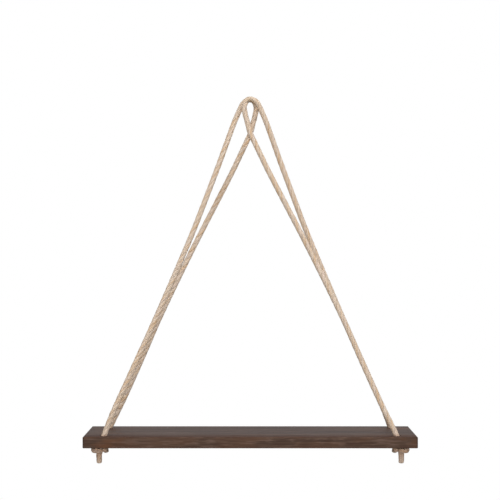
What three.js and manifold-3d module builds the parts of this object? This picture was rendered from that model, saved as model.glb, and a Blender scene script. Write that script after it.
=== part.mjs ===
// Hanging rope shelf: one plank slung from two ropes that pass over a single nail or hook.
//
// Frame, in millimetres: the origin is the hanging point, where the ropes bear on the nail,
// midway between them. +X runs to the right along the shelf, +Y to its back and +Z up.
//
// Each rope is one length. It starts in a knot under the board, rises through a bore, crosses
// the nail and goes down through the other bore of the same board end. The right rope is the
// left one turned half round about Z, so the inner strands cross below the nail, with the
// right rope's in front.

import * as THREE from 'three';
import * as BufferGeometryUtils from 'three/addons/utils/BufferGeometryUtils.js';
import Module from 'manifold-3d';

const wasm = await Module();
wasm.setup();

// Driving dimensions
const boardLength = 600;
const boardDepth = 150;
const boardThickness = 20;
const boardEdgeRound = 1.5;
const boardCornerRadius = 2.5;
const boardDrop = 607;
const boreDiameter = 14;
const boreEndInset = 35;
const boreSideInset = 23;
const ropeDiameter = 10;
const knotWidth = 28.6;
const knotHeight = 11;
const knotOffset = 8;
const tailOffset = 7.3;
const tailDiameter = 11;
const tailLength = 18.4;
const fitGap = 0.3;

// Below the nail the ropes flex at three balls about the hanging point: at the first they
// swing sideways, at the second they lean to the front and back, and at the third they twist.
const swingRadius = 15;
const leanRadius = 30;
const twistRadius = 64;

// How finely the curved faces are cut
const ropeSides = 10;
const crownStep = 3;
const legStep = 22;
const ballSegments = 64;
const roundSegments = 20;
const edgeSegments = 2;
const lobeSegments = 5;

// Sizes worked out from the driving ones
const ropeRadius = ropeDiameter / 2;
const ropeSideY = ropeRadius + fitGap / 2;
const boreX = boardLength / 2 - boreEndInset;
const boreY = boardDepth / 2 - boreSideInset;
const borePlay = (boreDiameter - ropeDiameter) / 2;
const underside = boardDrop + boardThickness;

// The left rope's route, as places on it: how far out from the nail, and how far down.
// Over the nail it turns wide on the side of its own board end, and tight on the other side,
// where it closes the loop under the nail. Shares of the rope's diameter.
const wideTurnShares = [
  [0.48, -0.42], [0.91, -0.2], [1.4, 0.32], [1.76, 1], [2.2, 1.95], [2.81, 3.37],
];
const tightTurnShares = [
  [0.5, -0.37], [0.9, 0.2], [1.1, 0.9], [1.09, 1.4], [0.98, 1.95],
  [0.82, 2.7], [0.59, 3.5], [0.32, 4.6], [0, 5.75], [-0.5, 6.85],
];

// From there the outer strand sags a little on its way to the board, and the inner one bulges.
// Shares of the way out to the bore, and of the drop to the board's top.
const outerStrandShares = [
  [0.157, 0.116], [0.207, 0.177], [0.285, 0.268], [0.392, 0.39], [0.508, 0.511],
  [0.658, 0.663], [0.824, 0.824], [0.942, 0.939], [0.981, 0.983],
];
const innerStrandShares = [
  [0.056, 0.147], [0.123, 0.208], [0.229, 0.298], [0.374, 0.42], [0.512, 0.541],
  [0.644, 0.662], [0.766, 0.784], [0.892, 0.906], [0.978, 0.983],
];

// In the bore it leans on the inboard rim at the top and on the outboard wall below.
// Shares of its play in the bore, and of the board's thickness.
const boreLeanShares = [
  [-0.6, 0], [0.15, 0.25], [0.55, 0.5], [0.65, 0.75], [0.65, 1],
];

// A stretch of a longer curve, from one share of its length to another.
class Stretch extends THREE.Curve {
  constructor(whole, from, to) {
    super();
    this.whole = whole;
    this.from = from;
    this.to = to;
  }

  getPoint(t, target) {
    return this.whole.getPointAt(THREE.MathUtils.lerp(this.from, this.to, t), target);
  }
}

// Geometry

// A closed solid from a geometry, once its shared corners are merged.
function solidFrom(geometry) {
  const bare = geometry.clone();
  bare.deleteAttribute('normal');
  bare.deleteAttribute('uv');
  const merged = BufferGeometryUtils.mergeVertices(bare);
  return new wasm.Manifold(new wasm.Mesh({
    numProp: 3,
    vertProperties: new Float32Array(merged.attributes.position.array),
    triVerts: new Uint32Array(merged.index.array),
  }));
}

// The other way, a solid's faces as a geometry.
function geometryFrom(solid) {
  const faces = solid.getMesh();
  const indexed = new THREE.BufferGeometry();
  const places = new Float32Array(faces.vertProperties);
  indexed.setAttribute('position', new THREE.BufferAttribute(places, 3));
  indexed.setIndex(new THREE.BufferAttribute(new Uint32Array(faces.triVerts), 1));
  const geometry = indexed.toNonIndexed();
  geometry.computeVertexNormals();
  return geometry;
}

// A length of rope along a curve, closed at both ends.
function ropeAlong(curve, step) {
  const section = new THREE.Shape();
  section.absarc(0, 0, ropeRadius, 0, Math.PI * 2);
  return new THREE.ExtrudeGeometry(section, {
    steps: Math.ceil(curve.getLength() / step),
    curveSegments: ropeSides / 2,
    extrudePath: curve,
  });
}

// What a solid has between two balls about the hanging point, half a gap clear of both.
function betweenBalls(solid, inner, outer) {
  const ball = (radius) => (
    solidFrom(new THREE.SphereGeometry(radius, ballSegments, ballSegments / 2))
  );
  const reached = outer ? solid.intersect(ball(outer - fitGap / 2)) : solid;
  return inner ? reached.subtract(ball(inner + fitGap / 2)) : reached;
}

// The rope's route

// A place on the rope. On the way down it runs evenly from beside the other rope to its bore.
function place(sideX, out, down, endY) {
  const share = THREE.MathUtils.clamp(down / boardDrop, 0, 1);
  return new THREE.Vector3(sideX * out, ropeSideY + (endY - ropeSideY) * share, -down);
}

// The places of one strand from the nail down, to the front or the back bore.
function strandPlaces(turnSide, turnShares, strandShares, endY) {
  return [
    ...turnShares.map(([out, down]) => (
      place(turnSide, out * ropeDiameter, down * ropeDiameter, endY)
    )),
    ...strandShares.map(([out, down]) => place(-1, out * boreX, down * boardDrop, endY)),
    ...boreLeanShares.map(([lean, down]) => (
      place(-1, boreX + lean * borePlay, boardDrop + down * boardThickness, endY)
    )),
  ];
}

const frontPlaces = strandPlaces(-1, wideTurnShares, outerStrandShares, -boreY);
const backPlaces = strandPlaces(1, tightTurnShares, innerStrandShares, boreY);
const route = new THREE.CatmullRomCurve3([
  ...frontPlaces.reverse(),
  new THREE.Vector3(0, ropeSideY, ropeRadius),
  ...backPlaces,
], false, 'centripetal');
route.arcLengthDivisions = frontPlaces.length * ballSegments;

// The share of the route's length where it comes within a distance of the hanging point.
function shareAt(distance, fromEnd) {
  const lengths = route.getLengths();
  const far = (index) => (
    route.getPoint(index / (lengths.length - 1)).length() > distance
  );
  const order = lengths.map((length, index) => index);
  const entry = fromEnd ? order.findLastIndex((i) => !far(i)) : order.findIndex((i) => !far(i));
  return lengths[entry] / route.getLength();
}

const crownFrom = shareAt(twistRadius + ropeDiameter, false);
const crownTo = shareAt(twistRadius + ropeDiameter, true);
const legFrom = shareAt(twistRadius - ropeDiameter, false);
const legTo = shareAt(twistRadius - ropeDiameter, true);

// One rope's pieces, in the left rope's place

const crown = solidFrom(ropeAlong(new Stretch(route, crownFrom, crownTo), crownStep));

// The front strand passes left of the back strand near the nail.
function frontAndBack(solid) {
  const middle = (piece) => piece.boundingBox().min[0] + piece.boundingBox().max[0];
  return solid.decompose().sort((one, other) => middle(one) - middle(other));
}

function bight() {
  return betweenBalls(crown, 0, swingRadius);
}

function shoulders() {
  return frontAndBack(betweenBalls(crown, swingRadius, leanRadius));
}

function necks() {
  return frontAndBack(betweenBalls(crown, leanRadius, twistRadius));
}

function leg(from, to) {
  const strand = solidFrom(ropeAlong(new Stretch(route, from, to), legStep));
  return betweenBalls(strand, twistRadius, 0);
}

// The stopper knot is one flat turn round the rope, drawn up against the board.
function knot() {
  const lobe = knotHeight / 2;
  const profile = new THREE.Path();
  profile.moveTo(0, -lobe);
  profile.lineTo(knotWidth / 2 - lobe, -lobe);
  profile.absarc(knotWidth / 2 - lobe, 0, lobe, -Math.PI / 2, Math.PI / 2);
  profile.lineTo(0, lobe);
  const turn = new THREE.LatheGeometry(profile.getPoints(lobeSegments), roundSegments);
  return turn.rotateX(Math.PI / 2);
}

// The tail is the short end that the knot leaves.
function tail() {
  const end = new THREE.CylinderGeometry(tailDiameter / 2, tailDiameter / 2, tailLength, ropeSides);
  return end.rotateX(Math.PI / 2);
}

// The board, with its edges and the rims of its bores rounded over

function board() {
  const x = boardLength / 2 - boardCornerRadius;
  const y = boardDepth / 2 - boardCornerRadius;
  const outline = new THREE.Shape();
  outline.absarc(x, y, boardCornerRadius, 0, Math.PI / 2);
  outline.absarc(-x, y, boardCornerRadius, Math.PI / 2, Math.PI);
  outline.absarc(-x, -y, boardCornerRadius, Math.PI, Math.PI * 1.5);
  outline.absarc(x, -y, boardCornerRadius, Math.PI * 1.5, Math.PI * 2);
  outline.closePath();
  for (const sideX of [-1, 1]) {
    for (const sideY of [-1, 1]) {
      const bore = new THREE.Path();
      bore.absarc(sideX * boreX, sideY * boreY, boreDiameter / 2, 0, Math.PI * 2);
      outline.holes.push(bore);
    }
  }
  return new THREE.ExtrudeGeometry(outline, {
    depth: boardThickness - 2 * boardEdgeRound,
    curveSegments: roundSegments / 2,
    bevelThickness: boardEdgeRound,
    bevelSize: boardEdgeRound,
    bevelOffset: -boardEdgeRound,
    bevelSegments: edgeSegments,
  });
}

// Materials

function finish(color, roughness) {
  return new THREE.MeshStandardMaterial({ color, roughness, metalness: 0 });
}

const stainedWood = () => finish('#5c463b', 0.6);
const naturalRope = () => finish('#cdb9a0', 0.95);

// Assembly

const shelf = new THREE.Group();

function add(parent, name, geometry, material) {
  const mesh = new THREE.Mesh(geometry, material);
  mesh.name = name;
  parent.add(mesh);
  return mesh;
}

const plank = add(shelf, 'shelf_board', board(), stainedWood());
plank.position.z = -underside + boardEdgeRound;

function addRope(name, turn) {
  const rope = new THREE.Group();
  rope.rotation.z = turn;
  shelf.add(rope);
  const strand = (end, piece) => `${name}_rope_${end}_${piece}`;

  add(rope, `${name}_rope_bight`, geometryFrom(bight()), naturalRope());
  const [frontShoulder, backShoulder] = shoulders();
  const [frontNeck, backNeck] = necks();
  const frontLeg = leg(0, legFrom);
  const backLeg = leg(legTo, 1);
  const ends = [
    { end: turn ? 'back' : 'front', sideY: -1, pieces: [frontShoulder, frontNeck, frontLeg] },
    { end: turn ? 'front' : 'back', sideY: 1, pieces: [backShoulder, backNeck, backLeg] },
  ];
  for (const { end, sideY, pieces } of ends) {
    ['shoulder', 'neck', 'leg'].forEach((piece, index) => {
      add(rope, strand(end, piece), geometryFrom(pieces[index]), naturalRope());
    });
    const stopper = add(rope, strand(end, 'knot'), knot(), naturalRope());
    const knotMiddle = -underside - fitGap - knotHeight / 2;
    stopper.position.set(-boreX - knotOffset, sideY * boreY, knotMiddle);
    const hanging = add(rope, strand(end, 'tail'), tail(), naturalRope());
    const tailMiddle = knotMiddle - (knotHeight + tailLength) / 2 - fitGap;
    hanging.position.set(-boreX - tailOffset, sideY * boreY, tailMiddle);
  }
}

addRope('left', 0);
addRope('right', Math.PI);

export default shelf;
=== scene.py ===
# Hanging rope shelf: a dark stained board slung from two laid ropes that pass over one nail.
# Metres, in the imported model's frame: the origin is where the ropes bear on the nail, +X runs
# to the right along the board, +Y to its back and +Z up.

import math

import bmesh
import bpy
import numpy as np
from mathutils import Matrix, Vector


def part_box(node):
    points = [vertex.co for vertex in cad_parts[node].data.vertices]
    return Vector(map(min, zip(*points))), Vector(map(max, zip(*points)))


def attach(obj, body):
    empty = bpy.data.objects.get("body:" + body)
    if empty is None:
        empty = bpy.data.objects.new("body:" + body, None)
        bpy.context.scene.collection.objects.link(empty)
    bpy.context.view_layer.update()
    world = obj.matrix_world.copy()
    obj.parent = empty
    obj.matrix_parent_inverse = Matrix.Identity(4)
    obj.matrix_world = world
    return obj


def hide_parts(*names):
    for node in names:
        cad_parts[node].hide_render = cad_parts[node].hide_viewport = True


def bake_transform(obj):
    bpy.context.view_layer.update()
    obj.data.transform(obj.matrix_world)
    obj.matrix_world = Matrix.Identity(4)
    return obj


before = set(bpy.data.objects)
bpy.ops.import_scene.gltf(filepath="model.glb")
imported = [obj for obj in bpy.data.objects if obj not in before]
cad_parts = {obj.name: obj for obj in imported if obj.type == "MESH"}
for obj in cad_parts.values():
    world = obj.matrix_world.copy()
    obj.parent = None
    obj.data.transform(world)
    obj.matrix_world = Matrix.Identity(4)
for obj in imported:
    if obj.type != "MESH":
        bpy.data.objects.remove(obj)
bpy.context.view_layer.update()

# The view
# A level camera stands 2.45 m in front of the ropes, a little above the middle of the shelf,
# with a long lens. Its picture is square.

PICTURE_SIDE_PX = 500
FOCAL_LENGTH_PX = 1327
SENSOR_WIDTH_MM = 36
CAMERA_PLACE = (-0.00043, -2.446, -0.2724)

view = bpy.data.cameras.new("view")
view.sensor_width = SENSOR_WIDTH_MM
view.lens = SENSOR_WIDTH_MM * FOCAL_LENGTH_PX / PICTURE_SIDE_PX
camera = bpy.data.objects.new("camera", view)
camera.location = CAMERA_PLACE
camera.rotation_euler = (math.pi / 2, 0, 0)
bpy.context.scene.collection.objects.link(camera)
bpy.context.scene.camera = camera

# The ropes' routes
# Each rope is one length: it starts as a tail and a stopper knot under the board, rises through
# a bore, passes over the nail and ends in the same way under the other bore of its board end.
# The right rope is the left one turned half round about Z.

ROPE_THICKNESS = 0.010
TOUCHING_GAP = 0.0003
BORE_DIAMETER = 0.014
BORE_END_INSET = 0.035
BORE_SIDE_INSET = 0.023
ROUTE_STEP = 0.001
SPAN_STEPS = 40

board_low, board_high = (np.array(corner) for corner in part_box("shelf_board"))
bore_x = board_high[0] - BORE_END_INSET
bore_y = board_high[1] - BORE_SIDE_INSET
board_drop = -board_high[2]
board_thickness = board_high[2] - board_low[2]
bore_play = (BORE_DIAMETER - ROPE_THICKNESS) / 2
rope_side_y = (ROPE_THICKNESS + TOUCHING_GAP) / 2

# Over the nail, out from it and down, as shares of the rope's thickness
WIDE_TURN_SHARES = [
    (0.48, -0.42), (0.91, -0.2), (1.4, 0.32), (1.76, 1), (2.2, 1.95), (2.81, 3.37),
]
TIGHT_TURN_SHARES = [
    (0.5, -0.37), (0.9, 0.2), (1.1, 0.9), (1.09, 1.4), (0.98, 1.95),
    (0.82, 2.7), (0.59, 3.5), (0.32, 4.6), (0, 5.75), (-0.5, 6.85),
]

# Down to the board, as shares of the way out to the bore and of the drop to the board's top
OUTER_STRAND_SHARES = [
    (0.157, 0.116), (0.207, 0.177), (0.285, 0.268), (0.392, 0.39), (0.508, 0.511),
    (0.658, 0.663), (0.824, 0.824), (0.942, 0.939), (0.981, 0.983),
]
INNER_STRAND_SHARES = [
    (0.056, 0.147), (0.123, 0.208), (0.229, 0.298), (0.374, 0.42), (0.512, 0.541),
    (0.644, 0.662), (0.766, 0.784), (0.892, 0.906), (0.978, 0.983),
]

# Through the bore, as shares of the rope's play in it and of the board's thickness
BORE_LEAN_SHARES = [(-0.6, 0), (0.15, 0.25), (0.55, 0.5), (0.65, 0.75)]

# Round the stopper knot and down the tail, as shares of the rope's thickness: out to the
# board's end, out to its long edge, and down from its underside
KNOT_SHARES = [
    (0.08, -0.03, 0.06), (-0.04, -0.14, 0.34), (-0.14, -0.4, 0.55), (-0.1, -0.74, 0.57),
    (0.24, -0.98, 0.57), (0.74, -1.04, 0.57), (1.24, -0.9, 0.57), (1.6, -0.52, 0.57),
    (1.71, 0, 0.57), (1.62, 0.48, 0.57), (1.32, 0.84, 0.57), (0.92, 0.94, 0.57),
    (0.62, 0.72, 0.61), (0.58, 0.4, 0.8), (0.68, 0.14, 1.12), (0.76, 0.02, 1.6),
]
FRONT_TAIL_END_SHARE = (0.71, 0, 3.0)
BACK_TAIL_END_SHARE = (0.56, 0, 2.68)


def strand_places(turn_side, turn_shares, strand_shares, edge_side, tail_end_share):
    """One strand of the left rope, from the nail down to the end of its tail."""
    end_y = edge_side * bore_y

    def place(x, down):
        share = min(max(down / board_drop, 0), 1)
        return (x, rope_side_y + (end_y - rope_side_y) * share, -down)

    places = [
        place(turn_side * out * ROPE_THICKNESS, down * ROPE_THICKNESS)
        for out, down in turn_shares
    ]
    places += [place(-out * bore_x, down * board_drop) for out, down in strand_shares]
    places += [
        place(-bore_x - lean * bore_play, board_drop + down * board_thickness)
        for lean, down in BORE_LEAN_SHARES
    ]
    places += [
        (
            -bore_x - out * ROPE_THICKNESS,
            end_y + edge_side * aside * ROPE_THICKNESS,
            board_low[2] - down * ROPE_THICKNESS,
        )
        for out, aside, down in [*KNOT_SHARES, tail_end_share]
    ]
    return places


def smooth_line(places, span_steps):
    """A centripetal curve through the places."""
    places = np.array(places, float)
    ends = np.vstack([2 * places[0] - places[1], places, 2 * places[-1] - places[-2]])
    t = (np.arange(span_steps) / span_steps)[:, None]
    line = []
    for before, start, end, after in zip(ends, ends[1:], ends[2:], ends[3:]):
        k0, k1, k2 = (
            math.sqrt(np.linalg.norm(b - a))
            for a, b in ((before, start), (start, end), (end, after))
        )
        leave = k1 * ((start - before) / k0 - (end - before) / (k0 + k1) + (end - start) / k1)
        arrive = k1 * ((end - start) / k1 - (after - start) / (k1 + k2) + (after - end) / k2)
        cubic = 2 * start - 2 * end + leave + arrive
        square = -3 * start + 3 * end - 2 * leave - arrive
        line.append(cubic * t**3 + square * t**2 + leave * t + start)
    return np.vstack([*line, places[-1:]])


def even_steps(line, step):
    """The same line with its points a step apart, and each point's distance along it."""
    reached = np.concatenate([[0], np.cumsum(np.linalg.norm(np.diff(line, axis=0), axis=1))])
    along = np.linspace(0, reached[-1], round(reached[-1] / step) + 1)
    return np.stack([np.interp(along, reached, line[:, axis]) for axis in range(3)], 1), along


def rope_line(front_tail_end_share, back_tail_end_share):
    """The left rope from end to end, and the distance along it of each of its points."""
    front_places = strand_places(
        -1, WIDE_TURN_SHARES, OUTER_STRAND_SHARES, -1, front_tail_end_share
    )
    back_places = strand_places(
        1, TIGHT_TURN_SHARES, INNER_STRAND_SHARES, 1, back_tail_end_share
    )
    crown = (0, rope_side_y, ROPE_THICKNESS / 2)
    route = [*reversed(front_places), crown, *back_places]
    return even_steps(smooth_line(route, SPAN_STEPS), ROUTE_STEP)


left_line, along_left = rope_line(FRONT_TAIL_END_SHARE, BACK_TAIL_END_SHARE)
right_line, along_right = rope_line(BACK_TAIL_END_SHARE, FRONT_TAIL_END_SHARE)
right_line = right_line * (-1, -1, 1)

# The laid rope
# Three strands of natural fibre are laid up right-handed, so on the side that faces the viewer
# they rise to the right. Each strand is a bundle of yarns, twisted the other way.

STRANDS = 3
LAY_LENGTH = 0.047
STRAND_RADIUS_SHARE = 0.245
YARNS_IN_STRAND = 9
YARN_LAY_LENGTH = 0.07
YARN_DEPTH_SHARE = 0.16
PRESS_SHARE = 0.86
FACETS_IN_YARN = 4
TAIL_TIP_LENGTH = 0.003
TAIL_TIP_SHARE = 0.5

# The strands are pressed out to a round rope, from nothing to fully between these shares of its
# radius
PRESSED_BETWEEN = (0.12, 0.45)

# Below the board's underside, as a share of the rope's thickness, and how much it swells there
KNOT_SWELLS = [(0, 1), (0.3, 1), (0.5, 1.04), (1.3, 1.07), (2.8, 1)]


def wire(tree, kind, settings=(), **inputs):
    """A new node in a tree, with its inputs set or linked by name. A list goes to inputs of
    one name, in their order."""
    node = tree.nodes.new(kind)
    for key, value in dict(settings).items():
        setattr(node, key, value)
    for name, value in inputs.items():
        found = [s for s in node.inputs if s.enabled and s.name == name.replace("_", " ")]
        for socket, one in zip(found, value if isinstance(value, list) else [value]):
            if isinstance(one, bpy.types.NodeSocket):
                tree.links.new(one, socket)
            else:
                socket.default_value = one
    return node


def shown(node, name=None):
    """A node's enabled output, by name or the first."""
    return next(s for s in node.outputs if s.enabled and name in (None, s.name))


def sums(tree, operation, *values):
    """A maths node's result."""
    return shown(wire(tree, "ShaderNodeMath", {"operation": operation}, Value=list(values)))


def arrows(tree, operation, *values):
    """A vector maths node's result."""
    node = tree.nodes.new("ShaderNodeVectorMath")
    node.operation = operation
    for socket, value in zip([s for s in node.inputs if s.enabled], values):
        if isinstance(value, bpy.types.NodeSocket):
            tree.links.new(value, socket)
        else:
            socket.default_value = value
    return shown(node)


def turned(tree, one, other, angle):
    """An arrow turned by an angle from one arrow towards another that is square to it."""
    part = arrows(tree, "MULTIPLY", one, sums(tree, "COSINE", angle))
    rest = arrows(tree, "MULTIPLY", other, sums(tree, "SINE", angle))
    return arrows(tree, "ADD", part, rest)


def step_between(tree, value, low, high, out_low=0.0, out_high=1.0):
    """A value brought from one range to another, smoothly, and held at its ends."""
    settings = {"interpolation_type": "SMOOTHSTEP"}
    inputs = {
        "Value": value, "From_Min": low, "From_Max": high, "To_Min": out_low, "To_Max": out_high,
    }
    return wire(tree, "ShaderNodeMapRange", settings, **inputs).outputs[0]


def named(tree, name, kind="FLOAT"):
    """A stored attribute's value."""
    settings = {"data_type": kind}
    return shown(wire(tree, "GeometryNodeInputNamedAttribute", settings, Name=name))


def stored(tree, geometry, name, value, kind="FLOAT"):
    """The geometry with a value stored at its points."""
    settings = {"data_type": kind, "domain": "POINT"}
    inputs = {"Geometry": geometry, "Name": name, "Value": value}
    return shown(wire(tree, "GeometryNodeStoreNamedAttribute", settings, **inputs))


def new_tree(name, sizes, counts):
    """A Geometry Nodes tree, with its named inputs' sockets and its output node."""
    tree = bpy.data.node_groups.new(name, "GeometryNodeTree")
    sockets = [("Geometry", "NodeSocketGeometry")]
    sockets += [(size, "NodeSocketFloat") for size in sizes]
    sockets += [(count, "NodeSocketInt") for count in counts]
    sockets += [("Material", "NodeSocketMaterial")]
    for socket, kind in sockets:
        tree.interface.new_socket(socket, in_out="INPUT", socket_type=kind)
    tree.interface.new_socket("Geometry", in_out="OUTPUT", socket_type="NodeSocketGeometry")
    inner = {s.name: s for s in tree.nodes.new("NodeGroupInput").outputs}
    return tree, inner, tree.nodes.new("NodeGroupOutput")


def finish_tree(tree, inner, out, geometry):
    """The tree's end: real geometry, in the material that it is given."""
    real = shown(wire(tree, "GeometryNodeRealizeInstances", Geometry=geometry))
    dressed = wire(tree, "GeometryNodeSetMaterial", Geometry=real, Material=inner["Material"])
    tree.links.new(shown(dressed), out.inputs[0])


def made_by(tree, mesh, **inputs):
    """The plain mesh that a tree makes of a mesh, with the tree's named inputs set."""
    holder = bpy.data.objects.new(tree.name, mesh)
    bpy.context.scene.collection.objects.link(holder)
    modifier = holder.modifiers.new(tree.name, "NODES")
    modifier.node_group = tree
    for item in tree.interface.items_tree:
        key = item.name.replace(" ", "_")
        if item.in_out == "INPUT" and key in inputs:
            modifier[item.identifier] = inputs[key]
    graph = bpy.context.evaluated_depsgraph_get()
    made = bpy.data.meshes.new_from_object(holder.evaluated_get(graph))
    holder.modifiers.remove(modifier)
    bpy.data.objects.remove(holder)
    return made


def laid_rope_tree():
    """Winds strands round a route whose points hold how far along they are, a side arrow
    and how much the rope swells there."""
    sizes = [
        "Rope Radius", "Strand Radius", "Lay Length", "Yarn Lay Length", "Yarn Depth", "Press",
    ]
    tree, inner, out = new_tree("laid_rope", sizes, ["Strands", "Yarns", "Facets"])
    along = named(tree, "along")
    side = named(tree, "side", "FLOAT_VECTOR")
    swell = named(tree, "swell")
    full_turn = 2 * math.pi

    line = shown(wire(tree, "GeometryNodeMeshToCurve", Mesh=inner["Geometry"]))
    way = shown(tree.nodes.new("GeometryNodeInputTangent"))
    line = stored(tree, line, "way", way, "FLOAT_VECTOR")
    spot = shown(tree.nodes.new("GeometryNodeInputPosition"))
    line = stored(tree, line, "heart", spot, "FLOAT_VECTOR")
    settings = {"domain": "SPLINE"}
    inputs = {"Geometry": line, "Amount": inner["Strands"]}
    copies = wire(tree, "GeometryNodeDuplicateElements", settings, **inputs)
    strands = stored(tree, copies.outputs["Geometry"], "strand", copies.outputs["Duplicate Index"])

    phase = sums(tree, "DIVIDE", named(tree, "strand"), inner["Strands"])
    phase = sums(tree, "ADD", phase, sums(tree, "DIVIDE", along, inner["Lay Length"]))
    across = arrows(tree, "CROSS_PRODUCT", named(tree, "way", "FLOAT_VECTOR"), side)
    outward = turned(tree, side, across, sums(tree, "MULTIPLY", phase, full_turn))
    strands = stored(tree, strands, "outward", outward, "FLOAT_VECTOR")
    outward = named(tree, "outward", "FLOAT_VECTOR")
    reach = sums(tree, "SUBTRACT", inner["Rope Radius"], inner["Strand Radius"])

    way = named(tree, "way", "FLOAT_VECTOR")
    aside = arrows(tree, "CROSS_PRODUCT", way, outward)
    slant = sums(tree, "DIVIDE", sums(tree, "MULTIPLY", reach, full_turn), inner["Lay Length"])
    grain = arrows(tree, "ADD", way, arrows(tree, "MULTIPLY", aside, slant))
    strands = stored(tree, strands, "grain", grain, "FLOAT_VECTOR")
    yarn_phase = sums(tree, "DIVIDE", along, inner["Yarn Lay Length"])
    yarn_turn = sums(tree, "MULTIPLY", yarn_phase, -full_turn)
    normal = turned(tree, outward, aside, yarn_turn)
    settings = {"mode": "FREE"}
    strands = shown(
        wire(tree, "GeometryNodeSetCurveNormal", settings, Curve=strands, Normal=normal)
    )

    inputs = {
        "Resolution": sums(tree, "MULTIPLY", inner["Yarns"], inner["Facets"]),
        "Radius": inner["Strand Radius"],
    }
    ring = shown(wire(tree, "GeometryNodeCurvePrimitiveCircle", **inputs))
    round_share = shown(tree.nodes.new("GeometryNodeSplineParameter"), "Factor")
    ring = stored(tree, ring, "round", sums(tree, "MULTIPLY", round_share, full_turn))
    yarn_round = sums(tree, "MULTIPLY", named(tree, "round"), inner["Yarns"])
    bulge = sums(tree, "ABSOLUTE", sums(tree, "SINE", sums(tree, "DIVIDE", yarn_round, 2.0)))
    ring = stored(tree, ring, "yarn_crown", bulge)
    dip = sums(tree, "SUBTRACT", 1.0, named(tree, "yarn_crown"))
    dip = sums(tree, "SUBTRACT", 1.0, sums(tree, "MULTIPLY", dip, inner["Yarn Depth"]))
    drawn_in = arrows(tree, "MULTIPLY", spot, dip)
    ring = shown(wire(tree, "GeometryNodeSetPosition", Geometry=ring, Position=drawn_in))

    inputs = {"Curve": strands, "Profile_Curve": ring, "Scale": swell}
    tubes = shown(wire(tree, "GeometryNodeCurveToMesh", **inputs))
    offset = arrows(tree, "MULTIPLY", outward, sums(tree, "MULTIPLY", reach, swell))
    tubes = shown(wire(tree, "GeometryNodeSetPosition", Geometry=tubes, Offset=offset))

    arm = arrows(tree, "SUBTRACT", spot, named(tree, "heart", "FLOAT_VECTOR"))
    full = sums(tree, "MULTIPLY", inner["Rope Radius"], swell)
    rise = sums(tree, "DIVIDE", arrows(tree, "LENGTH", arm), full)
    pressed = step_between(tree, rise, *PRESSED_BETWEEN)
    pressed = sums(tree, "MULTIPLY", pressed, inner["Press"])
    short_of_full = sums(tree, "SUBTRACT", 1.0, rise)
    pushed = sums(tree, "DIVIDE", sums(tree, "MULTIPLY", short_of_full, pressed), rise)
    offset = arrows(tree, "MULTIPLY", arm, pushed)
    tubes = shown(wire(tree, "GeometryNodeSetPosition", Geometry=tubes, Offset=offset))
    finish_tree(tree, inner, out, tubes)
    return tree


def steady_sides(line):
    """An arrow square to the line at each of its points, turning no more than the line does."""
    ways = np.gradient(line, axis=0)
    ways /= np.linalg.norm(ways, axis=1)[:, None]
    side = np.cross(ways[0], (0, 1, 0))
    sides = []
    for way in ways:
        side = side - way * (side @ way)
        side /= np.linalg.norm(side)
        sides.append(side)
    return np.array(sides)


def rope_swell(line, along):
    """How thick the rope is at each point, as a share: a little looser down through its knots
    to where the tails leave them, with the tails' tips rounded."""
    under_board = (board_low[2] - line[:, 2]) / ROPE_THICKNESS
    swell = np.interp(under_board, *zip(*KNOT_SWELLS))
    to_tip = np.minimum(along, along[-1] - along)
    tip = np.clip(1 - to_tip / TAIL_TIP_LENGTH, 0, 1)
    return swell * (1 - (1 - TAIL_TIP_SHARE) * (1 - np.sqrt(1 - tip**2)))


def route_mesh(line, along, first_along):
    """A route as a mesh of edges, with what the rope's tree reads at each point."""
    mesh = bpy.data.meshes.new("route")
    mesh.from_pydata(line.tolist(), [(i, i + 1) for i in range(len(line) - 1)], [])
    for name, values in (("along", along + first_along), ("swell", rope_swell(line, along))):
        mesh.attributes.new(name, "FLOAT", "POINT").data.foreach_set("value", values)
    sides = mesh.attributes.new("side", "FLOAT_VECTOR", "POINT")
    sides.data.foreach_set("vector", steady_sides(line).ravel())
    return mesh


# The rope's finish
# Undyed plant fibre: straw coloured, matt and a little uneven along its length, with painted
# shade in its grooves. It has painted shade on its underside where it bears on the nail, and it
# is reddish near the bores, where the board's stain has rubbed off on it.

# Noise over the strand's own wall: its start, features per metre round the strand and along it,
# detail and roughness
FIBRE_NOISES = {
    "hairs": (0, (4200, 4200, 150), 3.0, 0.65),
    "yarns": (0, (900, 900, 30), 2.0, 0.5),
    "stretches": (0, (70, 70, 22), 1.0, 0.5),
    "tints": (0, (330, 330, 24), 1.0, 0.5),
}

# Layers of colour: what each follows, from where to where, its share at either end, its colour
FIBRE_COLOUR = (206, 185, 162)
FIBRE_LAYERS = [
    ("hairs", 0.25, 0.75, 0.0, 1.0, (236, 218, 200)),
    ("yarns", 0.45, 0.75, 0.0, 0.55, (187, 165, 137)),
    ("stretches", 0.45, 0.75, 0.0, 0.4, (232, 218, 200)),
    ("tints", 0.48, 0.68, 0.0, 0.6, (214, 173, 128)),
    ("tints", 0.3, 0.5, 0.4, 0.0, (224, 201, 192)),
    # Painted shade in the grooves between the yarns
    ("yarn_crown", 0.0, 0.7, 0.2, 0.0, (158, 133, 100)),
    # Painted shade in the grooves between the strands
    ("rise", 0.87, 0.94, 0.25, 0.0, (148, 115, 80)),
    # Painted shade on the bight's underside round the nail
    ("from_nail", 0.0035, 0.0075, 0.42, 0.0, (110, 102, 82)),
]

# The stain rubbed off on the rope, above the board's top and below its underside
RUBBED_COLOUR = (156, 88, 52)
RUBBED_SHARE = 0.3
RUBBED_TAIL_SHARE = 0.35
RUBBED_ABOVE = 0.005
RUBBED_BELOW = (0.03, 0.01)

YARN_RELIEF = 0.8
FIBRE_BUMP = {"Strength": 0.8, "Distance": 0.00018}


def linear(red, green, blue):
    """A colour given as it looks on a screen, from 0 to 255, as a shader's colour."""
    shares = [channel / 255 for channel in (red, green, blue)]
    lit = [s / 12.92 if s <= 0.04045 else ((s + 0.055) / 1.055) ** 2.4 for s in shares]
    return (*lit, 1)


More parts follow.
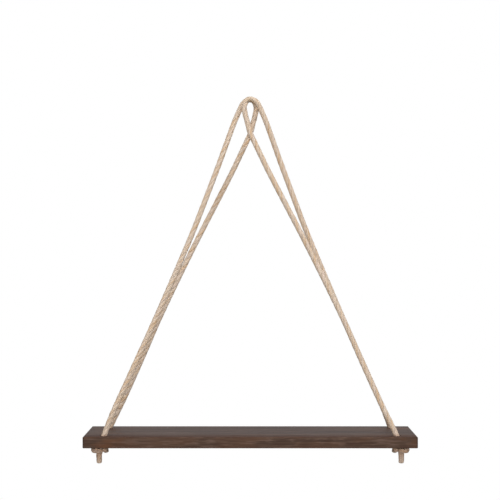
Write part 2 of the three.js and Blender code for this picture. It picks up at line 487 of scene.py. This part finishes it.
def new_material(name, **inputs):
    """A material whose shader's own inputs are set."""
    material = bpy.data.materials.new(name)
    material.use_nodes = True
    shader = material.node_tree.nodes["Principled BSDF"]
    for key, value in inputs.items():
        shader.inputs[key.replace("_", " ")].default_value = value
    return material, material.node_tree, shader


def mix(tree, factor, one, other):
    """A colour mixed from two."""
    settings = {"data_type": "RGBA"}
    return shown(wire(tree, "ShaderNodeMix", settings, Factor=factor, A=one, B=other))


def layered(tree, colour, follows, layers):
    """A colour with layers over it, by a table of layers and what they follow, by name."""
    for name, low, high, low_share, high_share, tint in layers:
        share = step_between(tree, follows[name], low, high, low_share, high_share)
        colour = mix(tree, share, colour, linear(*tint))
    return colour


def noises(tree, place, kinds):
    """Noise over a place for each kind in a table, by name."""
    made = {}
    for name, (start, scale_ways, detail, roughness) in kinds.items():
        moved = arrows(tree, "ADD", place, (start, 0, 0))
        scaled = arrows(tree, "MULTIPLY", moved, scale_ways)
        inputs = {"Vector": scaled, "Scale": 1.0, "Detail": detail, "Roughness": roughness}
        made[name] = wire(tree, "ShaderNodeTexNoise", **inputs).outputs[0]
    return made


def natural_fibre():
    material, tree, shader = new_material(
        "natural_fibre", Roughness=0.9, Specular_IOR_Level=0.2
    )

    def read(name, output):
        return wire(tree, "ShaderNodeAttribute", {"attribute_name": name}).outputs[output]

    place = wire(tree, "ShaderNodeTexCoord").outputs["Object"]
    follows = noises(tree, read("wrap", "Vector"), FIBRE_NOISES)
    follows["yarn_crown"] = read("yarn_crown", "Fac")
    follows["rise"] = read("rise", "Fac")
    # Distance from the nail's axis, for the painted shade round it
    follows["from_nail"] = arrows(tree, "LENGTH", arrows(tree, "MULTIPLY", place, (1, 0, 1)))
    colour = layered(tree, linear(*FIBRE_COLOUR), follows, FIBRE_LAYERS)

    height = wire(tree, "ShaderNodeSeparateXYZ", Vector=place).outputs["Z"]
    below = [board_low[2] - depth for depth in RUBBED_BELOW]
    rubbed = sums(
        tree,
        "MULTIPLY",
        step_between(tree, height, board_high[2] + RUBBED_ABOVE, board_high[2]),
        step_between(tree, height, *below, RUBBED_TAIL_SHARE, 1.0),
    )
    rubbed = sums(tree, "MULTIPLY", rubbed, RUBBED_SHARE)
    colour = mix(tree, rubbed, colour, linear(*RUBBED_COLOUR))
    tree.links.new(colour, shader.inputs["Base Color"])

    relief = sums(tree, "MULTIPLY", follows["yarns"], YARN_RELIEF)
    relief = sums(tree, "ADD", follows["hairs"], relief)
    bump = wire(tree, "ShaderNodeBump", **FIBRE_BUMP, Height=relief)
    tree.links.new(shown(bump), shader.inputs["Normal"])
    return material


rope_finish = natural_fibre()

# Loose fibres
# Short ends of fibre work out of the strands all over the rope and give it a slight fuzz. They
# lie mostly along the strand, either way, and stand off it a little at their free ends.

FIBRES_PER_SQUARE_METRE = 60000
SHORTEST_FIBRE = 0.0022
LONGEST_FIBRE = 0.0043
FIBRE_THICKNESS_SHARE = 0.014
FIBRE_SPREAD = 0.65
FIBRE_TAPER = 0.6
FIBRE_STEPS = 4
FIBRE_SIDES = 3
LOWEST_ROOT_RISE = 0.8

# A fibre's bend, as shares of its length: along the strand, aside and outward
FIBRE_BEND = {
    "Start": (0, 0, -0.03),
    "Start_Handle": (0.25, 0.02, 0.16),
    "End_Handle": (0.65, 0.14, 0.3),
    "End": (1, 0.05, 0.26),
}


def loose_fibres_tree():
    """Adds short bent fibres to the outer side of a strand, mostly along its yarns."""
    sizes = ["Density", "Shortest", "Longest", "Thickness Share", "Spread"]
    tree, inner, out = new_tree("loose_fibres", sizes, ["Seed"])

    def drawn(low, high, seed):
        """A number drawn for each fibre."""
        settings = {"data_type": "FLOAT"}
        inputs = {"Min": low, "Max": high, "Seed": seed}
        return shown(wire(tree, "FunctionNodeRandomValue", settings, **inputs))

    outside = sums(tree, "GREATER_THAN", named(tree, "rise"), LOWEST_ROOT_RISE)
    settings = {"distribute_method": "RANDOM"}
    inputs = {
        "Mesh": inner["Geometry"],
        "Selection": sums(tree, "MULTIPLY", outside, named(tree, "outer_wall")),
        "Density": inner["Density"],
        "Seed": inner["Seed"],
    }
    roots = wire(tree, "GeometryNodeDistributePointsOnFaces", settings, **inputs)

    inputs = {"Resolution": FIBRE_STEPS, **FIBRE_BEND}
    bend = shown(wire(tree, "GeometryNodeCurvePrimitiveBezierSegment", **inputs))
    thickness = sums(tree, "DIVIDE", inner["Thickness Share"], 2.0)
    inputs = {"Resolution": FIBRE_SIDES, "Radius": thickness}
    section = shown(wire(tree, "GeometryNodeCurvePrimitiveCircle", **inputs))
    factor = shown(tree.nodes.new("GeometryNodeSplineParameter"), "Factor")
    taper = sums(tree, "SUBTRACT", 1.0, sums(tree, "MULTIPLY", factor, FIBRE_TAPER))
    inputs = {"Curve": bend, "Profile_Curve": section, "Scale": taper, "Fill_Caps": True}
    fibre = shown(wire(tree, "GeometryNodeCurveToMesh", **inputs))

    settings = {"primary_axis": "Z", "secondary_axis": "X"}
    inputs = {
        "Primary_Axis": roots.outputs["Normal"],
        "Secondary_Axis": named(tree, "grain", "FLOAT_VECTOR"),
    }
    stand = shown(wire(tree, "FunctionNodeAxesToRotation", settings, **inputs))
    spread = sums(tree, "MULTIPLY", inner["Spread"], -1.0)
    swing = drawn(spread, inner["Spread"], inner["Seed"])
    way_back = drawn(0.0, 1.0, sums(tree, "ADD", inner["Seed"], 1.0))
    half_turn = sums(tree, "MULTIPLY", sums(tree, "GREATER_THAN", way_back, 0.5), math.pi)
    turn = wire(tree, "ShaderNodeCombineXYZ", Z=sums(tree, "ADD", swing, half_turn))
    settings = {"rotation_space": "LOCAL"}
    inputs = {
        "Rotation": stand,
        "Rotate_By": shown(wire(tree, "FunctionNodeEulerToRotation", Euler=shown(turn))),
    }
    stand = shown(wire(tree, "FunctionNodeRotateRotation", settings, **inputs))
    seed = sums(tree, "ADD", inner["Seed"], 2.0)
    length = drawn(inner["Shortest"], inner["Longest"], seed)
    inputs = {
        "Points": roots.outputs["Points"], "Instance": fibre, "Rotation": stand, "Scale": length,
    }
    fuzz = shown(wire(tree, "GeometryNodeInstanceOnPoints", **inputs))

    both = tree.nodes.new("GeometryNodeJoinGeometry")
    tree.links.new(fuzz, both.inputs[0])
    tree.links.new(inner["Geometry"], both.inputs[0])
    finish_tree(tree, inner, out, shown(both))
    return tree


# The ropes' pieces
# Each rope is cut into a piece over the nail, a neck at either side of its bight, and below
# those a strand and a stopper knot at each end. Each strand runs straight to its bore and on
# into the stopper knot, which is tied in the rope's own end.

# The heights where the ropes are divided
TOP_CUT_Z = -0.018
NECK_CUT_Z = -0.052
BOARD_CUT_Z = (board_low[2] + board_high[2]) / 2

# How far along its lay the right rope starts, so that the two ropes don't match
RIGHT_ROPE_FIRST_ALONG = 0.019


def strand_values(mesh, name, rings):
    """A stored value by strand, ring and side."""
    data = mesh.attributes[name].data
    wide = mesh.attributes[name].data_type == "FLOAT_VECTOR"
    values = np.empty(len(data) * (3 if wide else 1), np.float32)
    data.foreach_get("vector" if wide else "value", values)
    shape = (STRANDS, rings, YARNS_IN_STRAND * FACETS_IN_YARN)
    return values.reshape(*shape, 3) if wide else values.reshape(shape)


def laid_rope(line, along, first_along):
    """The whole rope along its line, as values by strand, ring and side."""
    whole = made_by(
        laid_tree,
        route_mesh(line, along, first_along),
        Rope_Radius=ROPE_THICKNESS / 2,
        Strand_Radius=ROPE_THICKNESS * STRAND_RADIUS_SHARE,
        Lay_Length=LAY_LENGTH,
        Yarn_Lay_Length=YARN_LAY_LENGTH,
        Yarn_Depth=YARN_DEPTH_SHARE,
        Press=PRESS_SHARE,
        Strands=STRANDS,
        Yarns=YARNS_IN_STRAND,
        Facets=FACETS_IN_YARN,
        Material=rope_finish,
    )
    names = ("position", "along", "swell", "strand", "round", "yarn_crown", "grain")
    rope = {name: strand_values(whole, name, len(line)) for name in names}
    from_line = np.linalg.norm(rope["position"] - line[None, :, None], axis=3)
    rope["rise"] = from_line / (rope["swell"] * ROPE_THICKNESS / 2)
    around = [np.cos(rope["round"]), np.sin(rope["round"])]
    radius = ROPE_THICKNESS * STRAND_RADIUS_SHARE
    rope["wrap"] = np.stack(
        [around[0] * radius, around[1] * radius, rope["along"] + rope["strand"]], 3
    )
    return rope


def rope_piece(name, rope, first, last, seed):
    """A rope's piece from one ring to another, closed at both ends, with its loose fibres."""
    part = {key: values[:, first:last + 1] for key, values in rope.items()}
    index = np.arange(part["rise"].size).reshape(part["rise"].shape)
    beside = np.roll(index, -1, axis=2)
    walls = np.stack([index[:, :-1], beside[:, :-1], beside[:, 1:], index[:, 1:]], 3)
    walls = walls.reshape(-1, 4).tolist()
    caps = [*index[:, 0, ::-1].tolist(), *index[:, -1].tolist()]
    mesh = bpy.data.meshes.new(name)
    mesh.from_pydata(part["position"].reshape(-1, 3).tolist(), [], walls + caps)
    for key in ("rise", "yarn_crown"):
        values = mesh.attributes.new(key, "FLOAT", "POINT")
        values.data.foreach_set("value", part[key].ravel())
    for key in ("wrap", "grain"):
        values = mesh.attributes.new(key, "FLOAT_VECTOR", "POINT")
        values.data.foreach_set("vector", part[key].ravel())
    outer_wall = mesh.attributes.new("outer_wall", "FLOAT", "FACE")
    outer_wall.data.foreach_set("value", [1.0] * len(walls) + [0.0] * len(caps))
    smooth = [True] * len(walls) + [False] * len(caps)
    mesh.polygons.foreach_set("use_smooth", smooth)
    hairy = made_by(
        fibres_tree,
        mesh,
        Density=float(FIBRES_PER_SQUARE_METRE),
        Shortest=SHORTEST_FIBRE,
        Longest=LONGEST_FIBRE,
        Thickness_Share=FIBRE_THICKNESS_SHARE,
        Spread=FIBRE_SPREAD,
        Seed=seed,
        Material=rope_finish,
    )
    hairy.name = name
    piece = bpy.data.objects.new(name, hairy)
    bpy.context.scene.collection.objects.link(piece)
    return piece


def flex(piece):
    """Bakes a piece's place into its mesh."""
    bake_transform(piece)


laid_tree = laid_rope_tree()
fibres_tree = loose_fibres_tree()


def add_rope(side, line, along, first_along, ends):
    """One rope in its pieces. Its line starts at the tail of the first of its two ends."""
    rope = laid_rope(line, along, first_along)
    crown = int(np.argmax(line[:, 2]))

    def ring_at(z, after_crown):
        near = np.abs(line[:, 2] - z)
        if after_crown:
            return crown + int(np.argmin(near[crown:]))
        return int(np.argmin(near[:crown]))

    top_rings = [ring_at(TOP_CUT_Z, after) for after in (False, True)]
    top = rope_piece(f"{side}_rope_over_nail", rope, *top_rings, seed=len(side))
    flex(top)
    shoulders = [f"{side}_rope_{end}_shoulder" for end in ends]
    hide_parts(f"{side}_rope_bight", *shoulders)

    for after_crown, (end, top_ring) in enumerate(zip(ends, top_rings)):
        tip_ring = len(line) - 1 if after_crown else 0
        rings = [top_ring, ring_at(NECK_CUT_Z, after_crown), ring_at(BOARD_CUT_Z, after_crown)]
        spans = [sorted(span) for span in zip(rings, [*rings[1:], tip_ring])]
        name = f"{side}_rope_{end}"
        seed = len(name) * (after_crown + 1)

        neck = rope_piece(f"{name}_flexing_neck", rope, *spans[0], seed=seed)
        flex(neck)
        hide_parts(f"{name}_neck")

        strand = rope_piece(f"{name}_strand", rope, *spans[1], seed=seed + 1)
        flex(strand)
        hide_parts(f"{name}_leg")

        stopper = rope_piece(f"{name}_stopper_knot", rope, *spans[2], seed=seed + 2)
        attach(stopper, "shelf")
        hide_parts(f"{name}_knot", f"{name}_tail")


add_rope("left", left_line, along_left, 0.0, ("front", "back"))
add_rope("right", right_line, along_right, RIGHT_ROPE_FIRST_ALONG, ("back", "front"))

# The board
# One plank of softwood, planed, its edges and the rims of its four bores rounded over. Its dark
# brown stain, under a thin satin coat, is deepest at the ends. The broad faces have painted
# shade, in bands, and each bore a ring of painted shade round its rim; the faces are paler and
# browner along their front.

BOARD_CORNER_RADIUS = 0.0025
BOARD_EDGE_ROUND = 0.0015
EDGE_STEPS = 6
CORNER_STEPS = 6
BORE_STEPS = 64

# The years' growth: the tree's heart from the board's middle, and shares of a year's width
HEART_PLACE = (0, 0.03, -0.05)
GROWTH_RING_WIDTH = 0.0034
RING_WANDER = 0.03
LATE_WOOD_STARTS = (0.45, 0.92)
LATE_WOOD_ENDS = (0.93, 1.0)
LATE_WOOD_SHARE = 0.4
LATE_WOOD_COLOUR = (56, 38, 29)

# Noise in the wood: its start along the board, features per metre each way, detail, roughness
WOOD_NOISES = {
    "wander": (0, (2.2, 9, 9), 2.0, 0.5),
    "streaks": (0, (9, 900, 900), 3.0, 0.6),
    "fine": (0, (34, 2600, 2600), 2.0, 0.6),
    "clouds": (0, (7, 22, 22), 2.0, 0.5),
    "blushes": (3, (16, 60, 60), 2.0, 0.5),
    "flecks": (5, (38, 260, 320), 2.0, 0.5),
    "bands": (7, (5, 55, 55), 3.0, 0.5),
}

# Layers of colour, as the rope's are given
STREAK_RANGE = (0.25, 0.75)
DARK_STREAK = (60, 43, 33)
PALE_STREAK = (89, 68, 55)
WOOD_LAYERS = [
    ("fine", 0.56, 0.8, 0.0, 0.5, (50, 34, 27)),
    ("flecks", 0.5, 0.72, 0.0, 0.6, (114, 91, 81)),
    ("flecks", 0.28, 0.5, 0.6, 0.0, (62, 38, 29)),
    ("clouds", 0.4, 0.7, 0.0, 0.35, (104, 80, 65)),
]

# Reddish blushes, stronger towards the ends, by their distance from them
BLUSH_RANGE = (0.44, 0.66)
BLUSH_INSETS = (0.11, 0.03)
BLUSH_SHARES = (0.25, 0.85)
BLUSH_COLOUR = (98, 64, 42)

# Stain that gathers along the edges of the end faces, within these distances of the end, the
# long edge and the broad face, and also in a band at the ends; in the same colour, painted shade
# in a ring round each bore
STAINED_EDGES = (0.005, 0.003, 0.0022)
END_STAIN_INSETS = (0.016, 0.001)
END_STAIN_SHARE = 0.3
BORE_SHADE_WIDTH = 0.0045
STAIN_AND_BORE_SHADE_SHARE = 0.6
STAIN_AND_BORE_SHADE_COLOUR = (44, 30, 24)

# Painted shade on the broad faces, in bands, and a paler, browner band along their front
FACE_DEPTH = 0.0006
FACE_SHADE_COLOUR = (43, 25, 19)
BAND_RANGE = (0.32, 0.68)
BAND_SHARES = (0.5, 1.0)
FRONT_BAND_INSETS = (0.006, 0.06)
FRONT_BAND_WAVINESS = 0.03
FRONT_BAND_SHARE = 0.45
FRONT_BAND_COLOUR = (82, 52, 38)

# How rough the coat is along the grain's streaks and in the band along the front, and the grain's
# relief
ROUGH_STREAK_RANGE = (0.2, 0.8)
STREAK_ROUGHNESSES = (0.68, 0.56)
FRONT_BAND_ROUGHNESS = 0.3
LATE_WOOD_RELIEF = 0.6
WOOD_BUMP = {"Strength": 0.6, "Distance": 0.00012}


def board_rounding():
    """The steps of an edge from the top face round to the bottom one: how far in, and z."""
    steps = []
    for top in (True, False):
        for step in range(EDGE_STEPS + 1):
            angle = math.pi / 2 * step / EDGE_STEPS
            inset = BOARD_EDGE_ROUND * (1 - math.sin(angle))
            drop = BOARD_EDGE_ROUND * (1 - math.cos(angle))
            steps.append((inset, board_high[2] - drop if top else board_low[2] + drop))
    half = EDGE_STEPS + 1
    return steps[:half] + steps[half:][::-1]


def outline(inset):
    """The board's outline from above, drawn in by an inset."""
    points = []
    for quarter in range(4):
        side_x = 1 if quarter in (0, 3) else -1
        side_y = 1 if quarter in (0, 1) else -1
        centre_x = side_x * (board_high[0] - BOARD_CORNER_RADIUS)
        centre_y = side_y * (board_high[1] - BOARD_CORNER_RADIUS)
        for step in range(CORNER_STEPS + 1):
            angle = math.pi / 2 * (quarter + step / CORNER_STEPS)
            radius = BOARD_CORNER_RADIUS - inset
            points.append(
                (centre_x + radius * math.cos(angle), centre_y + radius * math.sin(angle))
            )
    return points


def bore_rim(centre_x, centre_y, inset):
    """A bore's rim from above, opened by an inset, the other way round."""
    points = []
    for step in range(BORE_STEPS):
        angle = -2 * math.pi * step / BORE_STEPS
        radius = BORE_DIAMETER / 2 + inset
        points.append((centre_x + radius * math.cos(angle), centre_y + radius * math.sin(angle)))
    return points


def board_mesh():
    body = bmesh.new()
    steps = board_rounding()
    loops = [outline]
    for side_x in (-1, 1):
        for side_y in (-1, 1):
            centre = (side_x * bore_x, side_y * bore_y)
            loops.append(lambda inset, centre=centre: bore_rim(*centre, inset))
    rims = {0: [], len(steps) - 1: []}
    for loop in loops:
        rows = [[body.verts.new((x, y, z)) for x, y in loop(inset)] for inset, z in steps]
        for upper, lower in zip(rows, rows[1:]):
            for i, corner in enumerate(upper):
                after = (i + 1) % len(upper)
                wall = body.faces.new((corner, lower[i], lower[after], upper[after]))
                wall.smooth = True
        for level, rim in rims.items():
            row = rows[level]
            rim += [body.edges.get((a, b)) for a, b in zip(row, row[1:] + row[:1])]
    for rim in rims.values():
        bmesh.ops.triangle_fill(body, use_beauty=True, use_dissolve=False, edges=rim)
    bmesh.ops.recalc_face_normals(body, faces=body.faces)
    mesh = bpy.data.meshes.new("stained_board")
    body.to_mesh(mesh)
    body.free()
    return mesh


def stained_wood():
    material, tree, shader = new_material(
        "stained_wood", Roughness=0.6, Specular_IOR_Level=0.18
    )
    place = wire(tree, "ShaderNodeTexCoord").outputs["Object"]
    centred = arrows(tree, "SUBTRACT", place, (0, 0, (board_low[2] + board_high[2]) / 2))
    follows = noises(tree, centred, WOOD_NOISES)
    streaks = follows["streaks"]

    drift = sums(tree, "SUBTRACT", follows["wander"], 0.5)
    drift = sums(tree, "MULTIPLY", drift, RING_WANDER)
    from_heart = arrows(tree, "SUBTRACT", centred, HEART_PLACE)
    parts = wire(tree, "ShaderNodeSeparateXYZ", Vector=from_heart).outputs
    squares = [sums(tree, "MULTIPLY", parts[axis], parts[axis]) for axis in (1, 2)]
    radius = sums(tree, "SQRT", sums(tree, "ADD", *squares))
    radius = sums(tree, "ADD", radius, drift)
    year = sums(tree, "FRACT", sums(tree, "DIVIDE", radius, GROWTH_RING_WIDTH))
    late = step_between(tree, year, *LATE_WOOD_STARTS)
    late = sums(tree, "MULTIPLY", late, step_between(tree, year, *LATE_WOOD_ENDS, 1.0, 0.0))

    pale = step_between(tree, streaks, *STREAK_RANGE)
    colour = mix(tree, pale, linear(*DARK_STREAK), linear(*PALE_STREAK))
    late_share = sums(tree, "MULTIPLY", late, LATE_WOOD_SHARE)
    colour = mix(tree, late_share, colour, linear(*LATE_WOOD_COLOUR))
    colour = layered(tree, colour, follows, WOOD_LAYERS)

    from_middle = arrows(tree, "ABSOLUTE", centred)
    reach = wire(tree, "ShaderNodeSeparateXYZ", Vector=from_middle).outputs
    half = [board_high[0], board_high[1], board_thickness / 2]

    def towards_edge(axis, insets, *shares):
        """A share that changes between two distances from the board's edge."""
        low, high = (half[axis] - inset for inset in insets)
        return step_between(tree, reach[axis], low, high, *shares)

    blush = step_between(tree, follows["blushes"], *BLUSH_RANGE)
    blush = sums(tree, "MULTIPLY", blush, towards_edge(0, BLUSH_INSETS, *BLUSH_SHARES))
    colour = mix(tree, blush, colour, linear(*BLUSH_COLOUR))

    near = [towards_edge(axis, (width, 0)) for axis, width in enumerate(STAINED_EDGES)]
    stain_and_bore_shade = sums(tree, "MULTIPLY", near[0], sums(tree, "MAXIMUM", near[1], near[2]))
    at_end = towards_edge(0, END_STAIN_INSETS, 0.0, END_STAIN_SHARE)
    stain_and_bore_shade = sums(tree, "MAXIMUM", stain_and_bore_shade, at_end)
    # Painted shade in a ring round each bore
    flat = arrows(tree, "MULTIPLY", from_middle, (1, 1, 0))
    from_bore = arrows(tree, "DISTANCE", flat, (bore_x, bore_y, 0))
    rim = BORE_DIAMETER / 2
    at_bore = step_between(tree, from_bore, rim, rim + BORE_SHADE_WIDTH, 1.0, 0.0)
    stain_and_bore_shade = sums(tree, "MAXIMUM", stain_and_bore_shade, at_bore)
    stain_and_bore_shade = sums(tree, "MULTIPLY", stain_and_bore_shade, STAIN_AND_BORE_SHADE_SHARE)
    colour = mix(tree, stain_and_bore_shade, colour, linear(*STAIN_AND_BORE_SHADE_COLOUR))

    # Painted shade on the broad faces, in bands
    on_face = towards_edge(2, (FACE_DEPTH, 0))
    painted_face_shade = step_between(tree, follows["bands"], *BAND_RANGE, *BAND_SHARES)
    painted_face_shade = sums(tree, "MULTIPLY", on_face, painted_face_shade)
    colour = mix(tree, painted_face_shade, colour, linear(*FACE_SHADE_COLOUR))
    to_back = wire(tree, "ShaderNodeSeparateXYZ", Vector=centred).outputs["Y"]
    waves = sums(tree, "MULTIPLY", follows["flecks"], FRONT_BAND_WAVINESS)
    wavy = sums(tree, "ADD", to_back, waves)
    front_band_y = [inset - half[1] for inset in FRONT_BAND_INSETS]
    front_band = sums(tree, "MULTIPLY", on_face, step_between(tree, wavy, *front_band_y, 1.0, 0.0))
    colour = mix(tree, sums(tree, "MULTIPLY", front_band, FRONT_BAND_SHARE), colour, linear(*FRONT_BAND_COLOUR))
    tree.links.new(colour, shader.inputs["Base Color"])

    relief = sums(tree, "MULTIPLY", late, LATE_WOOD_RELIEF)
    relief = sums(tree, "SUBTRACT", relief, follows["fine"])
    relief = sums(tree, "ADD", relief, streaks)
    bump = wire(tree, "ShaderNodeBump", **WOOD_BUMP, Height=relief)
    tree.links.new(shown(bump), shader.inputs["Normal"])
    rough = step_between(tree, streaks, *ROUGH_STREAK_RANGE, *STREAK_ROUGHNESSES)
    rough = sums(tree, "ADD", rough, sums(tree, "MULTIPLY", front_band, FRONT_BAND_ROUGHNESS))
    tree.links.new(rough, shader.inputs["Roughness"])
    return material


stained_board = bpy.data.objects.new("stained_board", board_mesh())
stained_board.data.materials.append(stained_wood())
bpy.context.scene.collection.objects.link(stained_board)
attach(stained_board, "shelf")
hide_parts("shelf_board")

# Light, floor and background
# Soft light from the upper left, a smaller lamp at the right that throws the front rope's shadow
# on the back one near the nail, one in front and two behind. A pale floor lies far below, and
# all round is pure white.

WORLD_LIGHT = 0.23
FLOOR_Z = -2.9
FLOOR_RADIUS = 5.0
FLOOR_SIDES = 96
FLOOR_FADE = (0.7, 3.8)
FLOOR_COLOUR = (242, 241, 239)
FLOOR_BOUNCE = (188, 185, 181)

# Each lamp's name, place, width and watts
AREA_LIGHTS = [
    ("key_light", (-1.3, -2.4, 3.7), 2.4, 100),
    ("right_light", (2.2, -1.8, 2.0), 0.8, 32),
    ("front_light", (0.12, -2.6, -0.06), 0.4, 27),
    ("rear_light", (2.2, 1.8, 2.6), 2.4, 45),
    ("back_fill", (-0.5, 2.7, -0.9), 0.5, 28),
]


def is_looked_at(tree):
    """Whether a ray shows the background, straight, mirrored or through glass."""
    rays = tree.nodes.new("ShaderNodeLightPath").outputs
    shown_rays = sums(tree, "ADD", rays["Is Camera Ray"], rays["Is Glossy Ray"])
    shown_rays = sums(tree, "ADD", shown_rays, rays["Is Transmission Ray"])
    return sums(tree, "MINIMUM", shown_rays, 1.0)


def white_world():
    world = bpy.data.worlds.new("white")
    world.use_nodes = True
    tree = world.node_tree
    background = tree.nodes["Background"]
    background.inputs["Color"].default_value = (1, 1, 1, 1)
    light = step_between(tree, is_looked_at(tree), 0.0, 1.0, WORLD_LIGHT, 1.0)
    tree.links.new(light, background.inputs["Strength"])
    return world


def pale_floor():
    material, tree, shader = new_material("pale_floor", Roughness=0.9)
    looked_at = is_looked_at(tree)
    colour = mix(tree, looked_at, linear(*FLOOR_BOUNCE), linear(*FLOOR_COLOUR))
    tree.links.new(colour, shader.inputs["Base Color"])
    place = wire(tree, "ShaderNodeTexCoord").outputs["Object"]
    far = step_between(tree, arrows(tree, "LENGTH", place), *FLOOR_FADE)
    glow = wire(tree, "ShaderNodeEmission", Color=(1, 1, 1, 1), Strength=1.0)
    fade = sums(tree, "MULTIPLY", far, looked_at)
    surfaces = [shown(shader), shown(glow)]
    both = wire(tree, "ShaderNodeMixShader", Fac=fade, Shader=surfaces)
    tree.links.new(shown(both), tree.nodes["Material Output"].inputs["Surface"])
    return material


def floor_disc():
    disc = bmesh.new()
    bmesh.ops.create_circle(disc, cap_ends=True, segments=FLOOR_SIDES, radius=FLOOR_RADIUS)
    mesh = bpy.data.meshes.new("floor")
    disc.to_mesh(mesh)
    disc.free()
    return mesh


floor = bpy.data.objects.new("floor", floor_disc())
floor.location.z = FLOOR_Z
floor.data.materials.append(pale_floor())
bpy.context.scene.collection.objects.link(floor)

for name, place, width, power in AREA_LIGHTS:
    lamp = bpy.data.lights.new(name, "AREA")
    lamp.size = width
    lamp.energy = power
    light = bpy.data.objects.new(name, lamp)
    light.location = place
    aim = Vector((0, 0, board_high[2] / 2)) - light.location
    light.rotation_euler = aim.to_track_quat("-Z", "Y").to_euler()
    light.visible_camera = False
    bpy.context.scene.collection.objects.link(light)

bpy.context.scene.world = white_world()
bpy.context.scene.view_settings.view_transform = "Standard"
